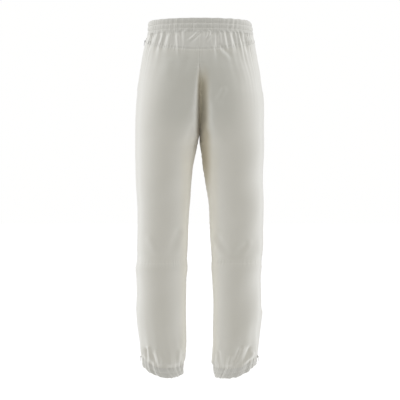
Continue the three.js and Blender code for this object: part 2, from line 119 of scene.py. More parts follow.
f_front, f_back, f_cy = (smooth_curve(DEPTH, c) for c in (1, 2, 3))
f_out_raw = {s: smooth_curve(OUTER[s], 1) for s in (1, -1)}
f_out = {s: (lambda z, s=s: f_out_raw[s](z) * (1.004 + 0.013 * np.clip((np.asarray(z, float) - 500) / 300, 0, 1))) for s in (1, -1)}
f_in = {s: smooth_curve(INNER[s], 1) for s in (1, -1)}


def step(t, a=0.0, b=1.0):
    t = np.clip((np.asarray(t, float) - a) / (b - a), 0, 1)
    return t * t * (3 - 2 * t)


def bump(t, width):
    return np.exp(-((t / width) ** 2))


def hem_lift(th):
    return HEM_LIFT * ((1 + np.cos(th)) / 2) ** 4


def hem_tuck(side, th):
    """The left hem is drawn up a little at its inner corner."""
    return (9.0 if side > 0 else 0.0) * ((1 - np.cos(th)) / 2) ** 5


def section(side, z):
    o, i = f_out[side](z), f_in[side](z)
    return (o + i) / 2, (o - i) / 2, f_front(z), f_back(z), f_cy(z) + MID_Y


def fullness(z):
    """How square the inner half of a leg's section is: 2 is an ellipse. The seat is fuller than the legs."""
    z = np.asarray(z, float)
    return 2 + 1.5 * step(z, 672, 765) * (1 - step(z, 800, 960))


def reach(side, z):
    """The angle from the side seam at which a leg's section meets the middle plane, or the inseam."""
    cx, a, _, _, _ = section(side, z)
    ratio = np.clip(cx / a, 1e-9, 1)
    return np.where(cx - a > 0, math.pi, np.where(cx > 0, np.arccos(-(ratio ** (fullness(z) / 2))), np.arccos(np.clip(-cx / a, -1, 1))))


CROTCH_LINE = np.array([[700, -11], [712, -3], [740, 22], [780, 50], [815, 72], [850, 92], [880, 108], [905, 116], [930, 119], [1050, 120]], float)
f_crotch = smooth_curve(CROTCH_LINE, 1)


# smooth pseudo-random noise in one dimension, fixed by its seed
def noise1(seed, wavelength, octaves=2):
    r = np.random.default_rng(seed)
    waves = [(2 * math.pi / (wavelength * (0.62 + 0.9 * r.random())), 6.283 * r.random(), 0.6 + 0.8 * r.random())
             for _ in range(5 * octaves)]
    total = math.sqrt(sum(w[2] ** 2 for w in waves) / 2)
    return lambda u: sum(a * np.sin(k * u + p) for k, p, a in waves) / total


def pleats(seed, wavelength, sharp=1.6):
    """Pinched fabric along a stitched elastic: narrow grooves between rounded ridges, unevenly spaced."""
    warp = noise1(seed + 1, wavelength * 7)
    size = noise1(seed + 2, wavelength * 4)

    def f(u):
        q = np.sin(math.pi * (u / wavelength + 0.42 * warp(u))) ** 2 + 0.035
        return (q ** (0.5 / sharp) - 0.74) * (1 + 0.35 * np.clip(size(u), -1.6, 1.6))
    return f


GATHER = {s: pleats(11 + s, 8.2) for s in (1, -1)}
GATHER_WIDE = {s: noise1(21 + s, 22, 1) for s in (1, -1)}
GATHER_FINE = {s: pleats(31 + s, 5.2) for s in (1, -1)}
CUFF_PLEATS = {s: pleats(41 + s, 5.9) for s in (1, -1)}
CUFF_WIDE = {s: noise1(51 + s, 24, 1) for s in (1, -1)}
SEAM_PUCKER = {s: noise1(61 + s, 9, 2) for s in (1, -1)}
BIG = {s: noise1(71 + s, 150, 1) for s in (1, -1)}

# Folds: (x0, z0, x1, z1, height, width at its start, width at its end), in the garment's own x, seen from behind or in front
BACK_FOLDS = [
    (62, 1007, 60, 930, 6.4, 4.5, 6), (71, 1004, 72, 960, -2.2, 4, 6), (52, 1004, 49, 950, -2.4, 4, 6),
    (-51, 1010, -51, 922, -6.6, 4.0, 6), (-60, 1006, -61, 958, 2.6, 4.5, 7), (-42, 1004, -42, 940, 2.2, 4.5, 7),
    (-58, 971, -97, 930, -4.6, 4.5, 8), (-48, 962, -88, 924, 2.4, 5, 9),
    (-4, 1006, 27, 976, -4.4, 3.5, 4.5), (4, 1007, 36, 978, 3.8, 4, 5), (-36, 1005, -22, 980, -4.4, 3.5, 4.5),
    (-30, 1006, -14, 978, 2.2, 3.5, 4.5), (14, 1002, 40, 984, -2.0, 3, 4),
    (96, 1004, 112, 950, -3.0, 4, 7), (86, 1004, 97, 946, 2.6, 4, 7), (112, 1003, 134, 938, -2.6, 4, 8),
    (104, 1004, 122, 944, 2.4, 4, 7), (126, 1003, 146, 944, 2.4, 4, 8), (134, 1000, 153, 950, -2.2, 4, 7),
    (-78, 1004, -86, 962, -2.4, 4, 6), (-70, 1004, -75, 960, 2.0, 4, 6), (-94, 1005, -110, 948, -3.0, 4, 7),
    (-86, 1005, -98, 950, 2.4, 4, 7), (-108, 1004, -130, 942, 2.6, 4, 8), (-122, 1003, -146, 940, -2.4, 4, 8),
    (-134, 1002, -154, 952, 2.2, 4, 7),
    (33, 935, 47, 878, -1.6, 9, 14), (88, 930, 96, 862, 1.6, 10, 18), (-118, 925, -134, 850, 1.5, 10, 18),
    (-74, 846, -44, 786, 2.8, 9, 12), (-60, 852, -32, 800, -2.2, 8, 10),
    (-30, 820, -56, 740, 2.2, 9, 16), (22, 800, 52, 730, 2.0, 9, 16), (-20, 770, -44, 690, -2.2, 8, 14),
    (16, 745, 40, 670, -1.8, 8, 14), (-14, 720, -30, 640, 1.8, 7, 12),
    # above the seam below the knee
    (46, 438, 66, 352, 1.7, 9, 12), (58, 440, 92, 350, -1.6, 10, 14), (150, 420, 118, 352, 1.8, 10, 15),
    (-36, 420, -68, 352, 1.8, 9, 12), (-50, 424, -88, 356, -1.6, 9, 12), (-150, 410, -120, 350, 1.1, 10, 14),
    (-140, 398, -96, 350, -2.0, 9, 12),
    # over the cuffs
    (158, 92, 150, 40, -5.0, 5, 6), (150, 96, 141, 46, 3.6, 5, 7), (138, 76, 122, 34, -3.4, 4.5, 6),
    (128, 86, 112, 36, 2.6, 5, 7), (58, 88, 66, 34, 2.6, 5, 7), (50, 74, 56, 34, -2.6, 4, 6),
    (-148, 96, -120, 36, -4.2, 5, 7), (-156, 78, -134, 40, 3.4, 5, 6), (-130, 98, -106, 36, 3.2, 6, 8),
    (-118, 92, -96, 34, -3.2, 5, 7), (-92, 70, -84, 32, 2.4, 5, 6), (-56, 84, -60, 32, -2.2, 5, 6),
]
FRONT_FOLDS = [
    (20, 1004, 34, 950, -3.0, 4, 7), (12, 1005, 20, 958, 2.4, 4, 7), (46, 1004, 66, 946, 2.8, 4, 8), (60, 1004, 84, 950, -2.6, 4, 8),
    (86, 1004, 104, 948, 2.4, 4, 8), (100, 1003, 124, 956, -2.4, 4, 8), (120, 1003, 140, 950, 2.0, 4, 8),
    (-24, 1004, -40, 946, -3.0, 4, 7), (-12, 1005, -22, 956, 2.2, 4, 7), (-48, 1004, -62, 950, 2.8, 4, 8), (-66, 1004, -88, 944, -2.6, 4, 8),
    (-88, 1004, -108, 950, 2.4, 4, 8), (-104, 1003, -124, 950, -2.2, 4, 8), (-122, 1003, -142, 952, 2.2, 4, 8),
    (6, 800, 70, 846, 2.8, 7, 14), (6, 780, 84, 806, -2.6, 7, 14), (8, 752, 84, 752, 2.4, 7, 15), (10, 730, 70, 700, -2.0, 7, 14),
    (-6, 806, -72, 856, 2.8, 7, 14), (-6, 786, -86, 818, -2.6, 7, 14), (-8, 756, -80, 762, 2.4, 7, 15), (-10, 734, -74, 706, -2.0, 7, 14),
    (50, 470, 100, 440, 2.0, 10, 16), (150, 476, 112, 430, 1.8, 10, 16), (60, 372, 110, 352, -1.8, 9, 12),
    (-50, 466, -96, 436, 2.0, 10, 16), (-150, 470, -112, 434, 1.8, 10, 16), (-66, 376, -112, 352, -1.8, 9, 12),
    (150, 94, 138, 40, -4.0, 5, 6), (138, 90, 124, 40, 3.2, 5, 7), (58, 88, 64, 34, 2.6, 5, 7), (90, 80, 88, 34, -2.4, 5, 7),
    (-150, 90, -138, 40, -4.0, 5, 6), (-136, 92, -122, 38, 3.2, 5, 7), (-58, 88, -64, 34, 2.6, 5, 7), (-94, 84, -90, 34, -2.4, 5, 7),
]


def folds(table, x, z):
    total = np.zeros_like(x)
    for x0, z0, x1, z1, height, w0, w1 in table:
        dx, dz = x1 - x0, z1 - z0
        n = math.hypot(dx, dz)
        near = (np.abs(x - (x0 + x1) / 2) < abs(dx) / 2 + 4 * w1) & (np.abs(z - (z0 + z1) / 2) < abs(dz) / 2 + 4 * w1)
        if not near.any():
            continue
        t = ((x - x0) * dx + (z - z0) * dz) / n**2
        off = ((x - x0) * -dz + (z - z0) * dx) / n
        w = w0 + (w1 - w0) * np.clip(t, 0, 1)
        along = step(t, -0.10, 0.16) * (1 - step(t, 0.45, 1.12))
        total += np.where(near, height * along * bump(off, w), 0)
    return total


def yoke_seam(x):
    return YOKE_MID + (YOKE_SIDE - YOKE_MID) * np.clip(np.abs(x) / 163.0, 0, 1) ** 2


def surface(side, th, z):
    """The outer face of a leg's fabric. th is 0 at the side seam and positive behind. Returns x, y, z in mm."""
    th, z = np.broadcast_arrays(np.asarray(th, float), np.asarray(z, float))
    cx, a, bf, bb, cy = section(side, z)
    k = step(th, -0.10, 0.10)
    b = np.where(th > 0, bb, bf)
    c, s = np.cos(th), np.sin(th)
    nx, ny = c / a, s / b
    full = np.where(c < 0, fullness(z), 2.0)
    px, py = np.sign(c) * np.abs(c) ** (2 / full), np.sign(s) * np.abs(s) ** (2 / full)
    nx, ny = np.sign(px) * np.abs(px) ** (full - 1) / a, np.sign(py) * np.abs(py) ** (full - 1) / b
    n = np.hypot(nx, ny) + 1e-12
    nx, ny = nx / n, ny / n
    x0, y0 = cx + a * px, cy + b * py
    gx = side * x0  # the garment's own x
    end = reach(side, z)
    # distance to the inseam, or to the seam at the middle plane
    near = np.clip(x0 - np.clip(cx - a, 0, None), 0, None)
    edge = np.abs(end - np.abs(th)) * b
    edge = edge + (near - edge) * step(z, 645, 690)
    seam = np.abs(th) * b  # distance to the side seam
    arc = th * (a + b) / 2
    behind = th > 0
    d = np.zeros_like(x0)

    # the waist's gathers, deepest under the band and fading downwards
    fade = np.exp(-np.clip(BAND_LOW - z, 0, None) / 26.0)
    calm = np.where(behind, 1 - 0.55 * step(np.abs(gx), 118, 146), 0.8 - 0.3 * step(np.abs(gx), 120, 146))
    lean = np.where(behind, 0.34, 0.22) * np.clip(BAND_LOW - z, 0, 140) * np.clip(np.abs(gx) / 150, 0, 1)
    across = gx / np.clip(np.abs(s), 0.35, 1) ** 0.6 - np.sign(gx) * lean
    d += np.where(z > 860, calm * fade * (0.62 * GATHER[side](across) + 0.75 * GATHER_WIDE[side](across)), 0)
    fade2 = np.exp(-np.clip(BAND_LOW - z, 0, None) / 60.0)
    d += np.where(z > 760, calm * fade2 * 1.15 * GATHER_WIDE[side](across * 0.72 + 40), 0)
    d += 0.9 * step(z, 925, 985)  # blousing under the band
    over_cuff = np.where(z < 300, step(z - hem_lift(th) - hem_tuck(side, th) - CUFF, 1, 16), 1.0)
    d += np.where(behind, folds(BACK_FOLDS, gx, z), folds(FRONT_FOLDS, gx, z)) * step(seam, 0, 16) * (1 - 0.38 * step(z, 900, 940)) * over_cuff

    # back yoke seam
    off = z - yoke_seam(gx)
    mask = step(th, 0.05, 0.16)
    d += mask * bump(off, 8) * 0.42 * SEAM_PUCKER[side](across * 1.0)
    d += mask * (-0.45 * bump(off, 2.2) + 0.32 * bump(off - 5.5, 3.2) + 0.25 * bump(off + 6, 4))

    # the seat's middle seam and the cleft
    hip = step(z, 690, 740)
    y_end = cy + bb * np.abs(np.sin(end)) ** (2 / fullness(z))
    deep = step(-z, -926, -898) * np.clip(y_end - f_crotch(z), 6, None) * step(z, 660, 706)
    wide = (5.0 + 3.0 * step(-z, -900, -790)) if side > 0 else (9 + 6 * step(-z, -905, -830))
    floor_of = 0.0 if side > 0 else 6.0 * step(-z, -922, -870) * (1 - step(-z, -790, -725))
    d_cleft = np.where(behind, deep * np.exp(-((np.clip(edge - floor_of, 0, None) / wide) ** 1.5)), 0.0)
    d -= np.where(behind, 1.2 * bump(edge, 3.0) * step(z, 705, 720) * (1 - step(z, 945, 953)), 0)
    d_fly = np.where(behind, 0.0, 1.0) * (1.2 * bump(edge, 3) + 5 * step(-z, -850, -760) * np.exp(-edge / 14)) * step(z, 690, 715)
    # inseam, side seam
    d -= 0.9 * bump(edge, 2.6) * (1 - step(z, 640, 665))
    d -= 1.0 * bump(seam, 2.4)
    d += 0.35 * SEAM_PUCKER[side](z * 0.8 + 30) * bump(seam, 11)
    d += 0.35 * SEAM_PUCKER[side](z * 0.7 + 300) * bump(edge, 11) * (1 - step(z, 900, 940))

    # seam below the knee: fabric above it is drawn in, fabric below it stands out
    off = z - KNEE_SEAM
    d += -0.5 * bump(off, 2.2) - 2.6 * bump(off - 14, 16) * np.where(behind, 1.0, 0.45) + 1.7 * bump(off + 18, 17)
    d += bump(off, 9) * 0.10 * SEAM_PUCKER[side](arc * 0.9 + 11)

    # broad unevenness down the legs
    d += (1 - hip) * 1.3 * BIG[side](z * 0.8 + 50 * np.sin(th + 0.7 * side)) * (0.35 + 0.65 * np.abs(s))
    d += 0.8 * np.sin(3 * th + 0.011 * z + side) * (1 - hip) * step(z, 90, 200)

    # cuff gathers
    low = z - hem_lift(th) - hem_tuck(side, th) - CUFF
    rise = np.exp(-np.clip(low, 0, None) / 17.0)
    calm_zip = step(seam, 7, 22)
    u = arc - np.sign(arc) * 0.12 * np.clip(low, 0, 90)
    body = rise * calm_zip * (1.25 * CUFF_PLEATS[side](u) + 1.0 * CUFF_WIDE[side](u))
    puff = calm_zip * step(low, 0, 14) * (2.3 * bump(low - 15, 19) + 1.2 * np.exp(-np.clip(low, 0, None) / 45) * CUFF_WIDE[side](u * 0.55 + 9))
    near = np.where(low > -60, 1.0, 0.0) * np.where(z < 300, 1.0, 0.0)
    d += near * (body + puff)

    # the zips lie in straight slots in the side seam
    for (x_low, z_low), (x_high, z_high) in (POCKET, ANKLE):
        t = (z - z_low) / (z_high - z_low)
        line = x_low + (x_high - x_low) * t
        inside = step(t, -0.09, 0.04) * (1 - step(t, 0.96, 1.09))
        want = line + 1.1 - x0
        d = d * (1 - inside * bump(seam, 8)) + inside * bump(seam, 16) * np.clip(want, -6, 6)

    x = x0 + nx * d
    y = y0 + ny * d
    # cleft and fly move straight in, so the two legs still meet at the middle plane
    y = y - d_cleft + d_fly
    x = np.where((x0 < 26) & (z > CROTCH - 60), np.maximum(x, np.minimum(x0, 0.15 + 0 * x)), x)
    x = x - (x - x0) * np.exp(-edge / 5) * (1 - step(cx - a, 0, 7))
    return side * x, y, z


def zip_line(node):
    """A zip's tape in the CAD model, as its line's two ends in x and z."""
    lo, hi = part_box(node)
    return lo * 1000, hi * 1000


_lo, _hi = zip_line("left_pocket_zip_chain")
POCKET = ((_hi.x, _lo.z), (_lo.x, _hi.z))
_lo, _hi = zip_line("left_ankle_zip_chain")
ANKLE = ((_lo.x, _lo.z), (_hi.x, _hi.z))


# ---------------------------------------------------------------- mesh making
def sheet_mesh(name, rows, cols, f, thick=1.0, collection=None):
    """A closed sheet from f(v, u) -> x, y, z in mm on a grid of rows and columns, with normals taken from f itself."""
    v, u = np.meshgrid(rows, cols, indexing="ij")
    P = np.stack(f(v, u), -1)
    e = 1e-3
    du = (np.stack(f(v, np.clip(u + e, 0, 1)), -1) - np.stack(f(v, np.clip(u - e, 0, 1)), -1))
    dv = (np.stack(f(v + e, u), -1) - np.stack(f(v - e, u), -1))
    N = np.cross(du, dv)
    N /= np.linalg.norm(N, axis=-1, keepdims=True) + 1e-12
    m, n = v.shape
    # normals point outwards: away from the leg's axis
    flip = f.outward(P, N)
    if flip:
        N = -N
    outer = P.reshape(-1, 3)
    inner = (P - N * thick).reshape(-1, 3)
    idx = np.arange(m * n).reshape(m, n)
    q = np.stack([idx[:-1, :-1], idx[:-1, 1:], idx[1:, 1:], idx[1:, :-1]], -1).reshape(-1, 4)
    if flip:
        q = q[:, ::-1]
    k = m * n
    faces = [q, q[:, ::-1] + k]
    ring = np.concatenate([idx[0, :], idx[1:, -1], idx[-1, -2::-1], idx[-2:0:-1, 0]])
    nxt = np.roll(ring, -1)
    rim = np.stack([nxt, ring, ring + k, nxt + k], -1)
    if flip:
        rim = rim[:, ::-1]
    faces.append(rim)
    faces = np.concatenate(faces)
    verts = np.concatenate([outer, inner]) * MM
    mesh = bpy.data.meshes.new(name)
    mesh.vertices.add(len(verts))
    mesh.vertices.foreach_set("co", verts.astype(np.float32).ravel())
    mesh.loops.add(faces.size)
    mesh.loops.foreach_set("vertex_index", faces.astype(np.int32).ravel())
    mesh.polygons.add(len(faces))
    mesh.polygons.foreach_set("loop_start", np.arange(0, faces.size, 4, dtype=np.int32))
    mesh.polygons.foreach_set("loop_total", np.full(len(faces), 4, np.int32))
    mesh.update(calc_edges=True)
    # UV in metres of cloth: along the weft and along the warp
    step_u = np.linalg.norm(np.diff(P, axis=1), axis=-1)
    step_v = np.linalg.norm(np.diff(P, axis=0), axis=-1)
    U = np.concatenate([np.zeros((m, 1)), np.cumsum(np.broadcast_to(step_u.mean(0), (m, n - 1)), 1)], 1)
    V = np.concatenate([np.zeros((1, n)), np.cumsum(np.broadcast_to(step_v.mean(1)[:, None], (m - 1, n)), 0)], 0)
    uv = np.stack([U, V], -1).reshape(-1, 2) * MM
    uv = np.concatenate([uv, uv])
    layer = mesh.uv_layers.new(name="cloth")
    layer.data.foreach_set("uv", uv[faces.ravel()].astype(np.float32).ravel())
    Nn = np.concatenate([N.reshape(-1, 3), -N.reshape(-1, 3)])
    mesh.shade_smooth() if hasattr(mesh, "shade_smooth") else None
    mesh.polygons.foreach_set("use_smooth", np.ones(len(faces), bool))
    mesh.normals_split_custom_set_from_vertices([tuple(w) for w in Nn])
    obj = bpy.data.objects.new(name, mesh)
    bpy.context.scene.collection.objects.link(obj)
    area = float(np.linalg.norm(np.cross(P[1:, :-1] - P[:-1, :-1], P[:-1, 1:] - P[:-1, :-1]), axis=-1).sum()) * 1e-6
    obj["cloth_area"] = area
    width = float(np.linalg.norm(np.diff(P, axis=1), axis=-1).sum(1).max()) * MM
    length = float(np.linalg.norm(np.diff(P, axis=0), axis=-1).sum(0).max()) * MM
    obj["cloth_flat"] = (width, length)
    return obj


def leg_panel(side, behind, top, bottom):
    """The function of one panel: v from 0 at its top edge to 1 at its lower one, u from 0 at the side seam to 1 at the inner edge.
    top and bottom give a height for each share u of the way round."""
    sign = 1 if behind else -1

    def f(v, u):
        zt, zb = top(side, u, sign), bottom(side, u, sign)
        z = zt + (zb - zt) * v
        end = reach(side, z)
        slot = slot_half(z) / np.where(behind, f_back(z), f_front(z))
        th = sign * (slot + (end - 1e-4 - slot) * u)
        return surface(side, th, z)

    def outward(P, N):
        m, n = P.shape[:2]
        return bool(N[m // 2, n // 2] @ np.array([0, sign, 0]) < 0)
    f.outward = outward
    return f


def slot_half(z):
    """Half the width of the opening that a zip is sewn into, or of the bare side seam."""
    w = 0.15
    for (_, z_low), (_, z_high) in (POCKET, ANKLE):
        w = w + 4.5 * step(z, z_low - 1, z_low + 4) * (1 - step(z, z_high - 4, z_high + 1))
    return w


def level(z):
    return lambda side, u, sign: np.full_like(np.asarray(u, float), z)


def seat_top(side, u, sign):
    x = 163.0 * (1 - u)
    return yoke_seam(x) - 0.03


def cuff_top(side, u, sign):
    th = 0.0765 + (math.pi - 0.0765) * np.asarray(u, float)
    return CUFF + 0.05 + hem_lift(th) + hem_tuck(side, th)


def rows(total, each, dense=()):
    """Shares from 0 to 1, about each mm apart, and closer in the dense stretches of (from, to, each)."""
    out, t = [0.0], 0.0
    while t < 1:
        gap = each
        for a, b, g in dense:
            if a <= t * total <= b:
                gap = min(gap, g)
        t = min(1.0, t + gap / total)
        out.append(t)
    if out[-1] - out[-2] < 0.3 * each / total:
        out.pop(-2)
    return np.array(out)


PIECES = {}


def make(name, rows_, cols, f, thick=0.9):
    o = sheet_mesh(name, rows_, np.linspace(0, 1, cols + 1), f, thick)
    PIECES[name] = o
    return o


LEFT_RIGHT = (("left", 1), ("right", -1))
UPPER = 150
for word, side in LEFT_RIGHT:
    make(f"{word}_seat_and_thigh_back", rows(400, 4.2, [(0, 60, 2.4)]), UPPER, leg_panel(side, True, seat_top, level(CUT)))
    make(f"{word}_hip_and_thigh_front", rows(448, 4.6, [(0, 70, 2.6)]), UPPER, leg_panel(side, False, level(BAND_LOW - 0.05), level(CUT)))
    for name, behind in (("back", True), ("front", False)):
        make(f"{word}_knee_{name}", rows(220, 5.0, [(180, 220, 2.4)]), UPPER, leg_panel(side, behind, level(CUT), level(KNEE_SEAM + 0.03)))
        make(f"{word}_calf_{name}", rows(300, 5.0, [(0, 30, 2.4), (215, 300, 1.9)]), 190, leg_panel(side, behind, level(KNEE_SEAM - 0.03), cuff_top))

# the yoke runs across the back in one piece: u from 0 at the right side seam to 1 at the left
def yoke(v, u):
    share = 2 * np.asarray(u) - 1
    left = surface_yoke(1, v, np.clip(1 - share, 0, 1))
    right = surface_yoke(-1, v, np.clip(1 + share, 0, 1))
    return tuple(np.where(share >= 0, l, r) for l, r in zip(left, right))


def surface_yoke(side, v, w):
    """w from 0 at the side seam to 1 at the middle."""
    x = 163.0 * (1 - w)
    zb = yoke_seam(x) + 0.03
    z = (BAND_LOW - 0.05) + (zb - BAND_LOW + 0.05) * v
    slot = slot_half(z) / f_back(z)
    th = slot + (reach(side, z) - slot) * w
    return surface(side, th, z)


yoke.outward = lambda P, N: bool(N[len(P) // 2, P.shape[1] // 2] @ np.array([0, 1, 0]) < 0)
make("back_yoke_fabric", rows(46, 2.2), 340, yoke)


# ---------------------------------------------------------------- waistband
BAND_NOISE = pleats(97, 7.0)
BAND_FINE = pleats(93, 4.6)
BAND_WIDE = noise1(95, 26, 1)
EYELETS = []
for _word in ("left", "right"):
    _lo, _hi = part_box(f"{_word}_drawcord_eyelet")
    EYELETS.append((500 * (_lo.x + _hi.x), 500 * (_lo.z + _hi.z)))
TOP_Z = 1050.0
ROW_1, ROW_2 = 1034.5, 1020.5  # stitch rows through the elastic


def band(behind):
    """The casing, whose lower edge follows the cloth that is sewn to it."""
    sign = 1 if behind else -1
    own = band_form(behind)

    def f(v, u):
        v, u = np.broadcast_arrays(np.asarray(v, float), np.asarray(u, float))
        x, y, z = own(v, u)
        x0, y0, _ = own(0 * v, u)
        th = 0.0016 + (math.pi - 0.0032) * u
        top = BAND_LOW - 0.05
        xs, ys = 0.0, 0.0
        for side, turn in ((1, th), (-1, math.pi - th)):
            mine = np.cos(th) > 0 if side > 0 else np.cos(th) <= 0
            xq, yq, _ = surface(side, sign * np.clip(turn, 0, reach(side, top)), np.full_like(th, top))
            xs, ys = xs + np.where(mine, xq, 0), ys + np.where(mine, yq, 0)
        w = np.where(v < 0.46, bump(z - BAND_LOW, 4.5), 0.0)
        return x + w * (xs - x0), y + w * (ys - y0), z
    f.outward = own.outward
    return f


def band_form(behind, inside=False):
    sign = 1 if behind else -1

    def f(v, u):
        """v runs up the outside, over the fold and down the inside; u runs from the left side seam to the right."""
        v, u = np.broadcast_arrays(np.asarray(v, float), np.asarray(u, float))
        th = sign * (0.0016 + (math.pi - 0.0032) * u)
        # profile: outside 0..0.46, fold 0.46..0.54, inside 0.54..1
        r = 2.3
        t = np.clip(v, 0, 1)
        up = np.clip(t / 0.46, 0, 1)
        over = np.clip((t - 0.46) / 0.08, 0, 1)
        down = np.clip((t - 0.54) / 0.46, 0, 1)
        low = BAND_LOW + 0.05
        z = low + (TOP_Z - r - low) * (up - down) + r * np.sin(math.pi * over)
        if inside:
            z = 1012.2 + 35.0 * t
        inset = r - r * np.cos(math.pi * over)
        h = z
        a = np.where(np.cos(th) > 0, f_out[1](h), f_out[-1](h))
        b = np.where(sign > 0, f_back(h), f_front(h))
        c, s = np.cos(th), np.abs(np.sin(th)) * sign
        nx, ny = c / a, s / b
        n = np.hypot(nx, ny)
        nx, ny = nx / n, ny / n
        gx = a * c
        outside = 1 - step(t, 0.44, 0.56)
        seam = np.abs(s) * b
        gathered = (0.30 + 0.70 * (1 - step(np.abs(gx - (3 if behind else 0)), 84, 118))) if behind else np.full_like(gx, 0.75)
        dense = bump(gx - 0.0, 42) if behind else 0.4 * bump(gx, 60)
        q = gx / np.clip(np.abs(s), 0.35, 1) ** 0.6
        # between the rows the fabric stands out; at the rows it is held down
        rows_hold = 1.5 * bump(z - ROW_1, 1.7) + 1.5 * bump(z - ROW_2, 1.7)
        away = np.ones_like(gx)
        if not behind:
            for ex, ez in EYELETS:
                away = away * (1 - np.exp(-(np.hypot(gx - ex, z - ez) / 9.0) ** 6))
        puff = 1.4 * (bump(z - 1042.5, 5.5) + bump(z - 1027.5, 5.0)) + 0.9 * bump(z - 1014.5, 4.0)
        ripple = (1.0 * BAND_NOISE(q) + 0.75 * dense * BAND_FINE(q)) * (0.35 + 0.75 * (bump(z - 1027, 8) + 0.8 * bump(z - 1013, 7) + 0.35 * bump(z - 1042, 6)))
        # the gathers run through every layer; the walls stand apart between the rows, with the elastic in the middle
        d = gathered * (ripple * (1 + 0.9 * dense) + 0.5 * BAND_WIDE(q + 0.25 * z) + 0.5 * GATHER[1](q) * step(-z, -1022, -1010))
        d = d - 0.8 * bump(seam, 2.4) + (outside * puff - (0.6 + 0.4 * outside) * rows_hold if not inside else -rows_hold)
        if inside:
            inset = np.full_like(t, 1.65)
        d = d * away - (0.0 if inside else 0.25) * (1 - away) * outside
        dz = gathered * dense * 0.7 * BAND_WIDE(q * 1.6 + 20) * (bump(z - ROW_1, 6) + bump(z - ROW_2, 6))
        x = (a - 0) * c - nx * inset + nx * d
        y = MID_Y + b * s - ny * inset + ny * d
        return x, y, z + dz + 0.3 * BAND_WIDE(q * 0.5) * bump(z - TOP_Z, 6)
    f.outward = lambda P, N: bool(N[6, P.shape[1] // 2] @ np.array([0, sign, 0]) < 0)
    return f


band_rows = np.concatenate([np.linspace(0, 0.46, 27), np.linspace(0.475, 0.525, 4), np.linspace(0.54, 1, 12)])
make("waistband_back_fabric", band_rows, 420, band(True), 1.1)
make("waistband_front_fabric", band_rows, 360, band(False), 1.1)


def waist_ring(v, u):
    """The elastic between the casing's walls, once round: the back half, then the front half."""
    v, u = np.broadcast_arrays(np.asarray(v, float), np.asarray(u, float))
    w = 0.004 + 0.992 * u
    back = band_form(True, True)(v, np.clip(2 * w, 0, 1))
    front = band_form(False, True)(v, np.clip(2 - 2 * w, 0, 1))
    return tuple(np.where(w < 0.5, p, q) for p, q in zip(back, front))


waist_ring.outward = lambda P, N: bool(N[4, P.shape[1] // 4] @ np.array([0, 1, 0]) < 0)
make("waist_elastic_band", np.linspace(0, 1, 18), 620, waist_ring, 1.1)


# ---------------------------------------------------------------- cuffs
def cuff(side, inside=False):
    """The casing: v runs down the outside, round the hem and up the inside. With inside, the elastic between its walls."""
    def f(v, u):
        v, u = np.broadcast_arrays(np.asarray(v, float), np.asarray(u, float))
        gap = (5.2 if inside else 4.6) / 57
        th = gap + (2 * math.pi - 2 * gap) * u
        th = np.where(th > math.pi, th - 2 * math.pi, th)
        r = 2.4
        t = np.clip(v, 0, 1)
        downward = np.clip(t / 0.46, 0, 1)
        over = np.clip((t - 0.46) / 0.08, 0, 1)
        upward = np.clip((t - 0.54) / 0.46, 0, 1)
        rel = (CUFF - 0.05) - (CUFF - 0.05 - r) * (downward - upward) - r * np.sin(math.pi * over)
        inset = r - r * np.cos(math.pi * over)
        outside = 1 - step(t, 0.44, 0.56)
        if inside:
            rel = CUFF - 4.5 - (CUFF - 9.5) * t
            inset = np.full_like(t, r - 0.7)
            outside = np.full_like(t, 0.5)
        z = rel + hem_lift(th) + hem_tuck(side, th)
        cx, a, bf, bb, cy = section(side, z)
        b = np.where(th > 0, bb, bf)
        c, s = np.cos(th), np.sin(th)
        nx, ny = c / a, s / b
        n = np.hypot(nx, ny)
        nx, ny = nx / n, ny / n
        arc = th * (a + b) / 2
        seam = np.abs(th) * b
        calm = step(seam, 7, 22)
        wave = 1.25 * CUFF_PLEATS[side](arc) + 1.0 * CUFF_WIDE[side](arc)
        d = calm * wave * (0.9 + 0.1 * bump(rel - CUFF, 4))
        if not inside:
            d = d + outside * (0.5 * bump(rel - 21, 6) + 0.7 * bump(rel - 7, 5) - 0.35 * bump(rel - 14.5, 2.0))
        dz = calm * 0.5 * CUFF_WIDE[side](arc * 1.3 + 4) * step(-rel, -14, 0)
        for (x_low, z_low), (x_high, z_high) in (ANKLE,):
            line = x_low + (x_high - x_low) * (z - z_low) / (z_high - z_low)
            d = d + bump(seam, 12) * np.clip(line + 1.0 - (cx + a * c), -6, 6)
        x = cx + a * c - nx * inset + nx * d
        y = cy + b * s - ny * inset + ny * d
        return side * x, y, z + dz
    f.outward = lambda P, N: bool(N[min(6, len(P) // 2), P.shape[1] // 4] @ np.array([0, 1, 0]) < 0)
    return f


for word, side in LEFT_RIGHT:
    make(f"{word}_cuff_fabric", np.concatenate([np.linspace(0, 0.46, 16), np.linspace(0.475, 0.525, 4), np.linspace(0.54, 1, 8)]), 360, cuff(side), 1.0)
    make(f"{word}_cuff_elastic_band", np.linspace(0, 1, 12), 300, cuff(side, True), 1.0)


# ---------------------------------------------------------------- materials
def material(name):
    m = bpy.data.materials.new(name)
    m.use_nodes = True
    t = m.node_tree
    t.nodes.clear()
    out = t.nodes.new("ShaderNodeOutputMaterial")
    p = t.nodes.new("ShaderNodeBsdfPrincipled")
    t.links.new(p.outputs[0], out.inputs[0])
    return m, t, p


def node(t, kind, **inputs):
    n = t.nodes.new(kind)
    for k, v in inputs.items():
        if k.startswith("_"):
            setattr(n, k[1:], v)
        else:
            n.inputs[k].default_value = v
    return n


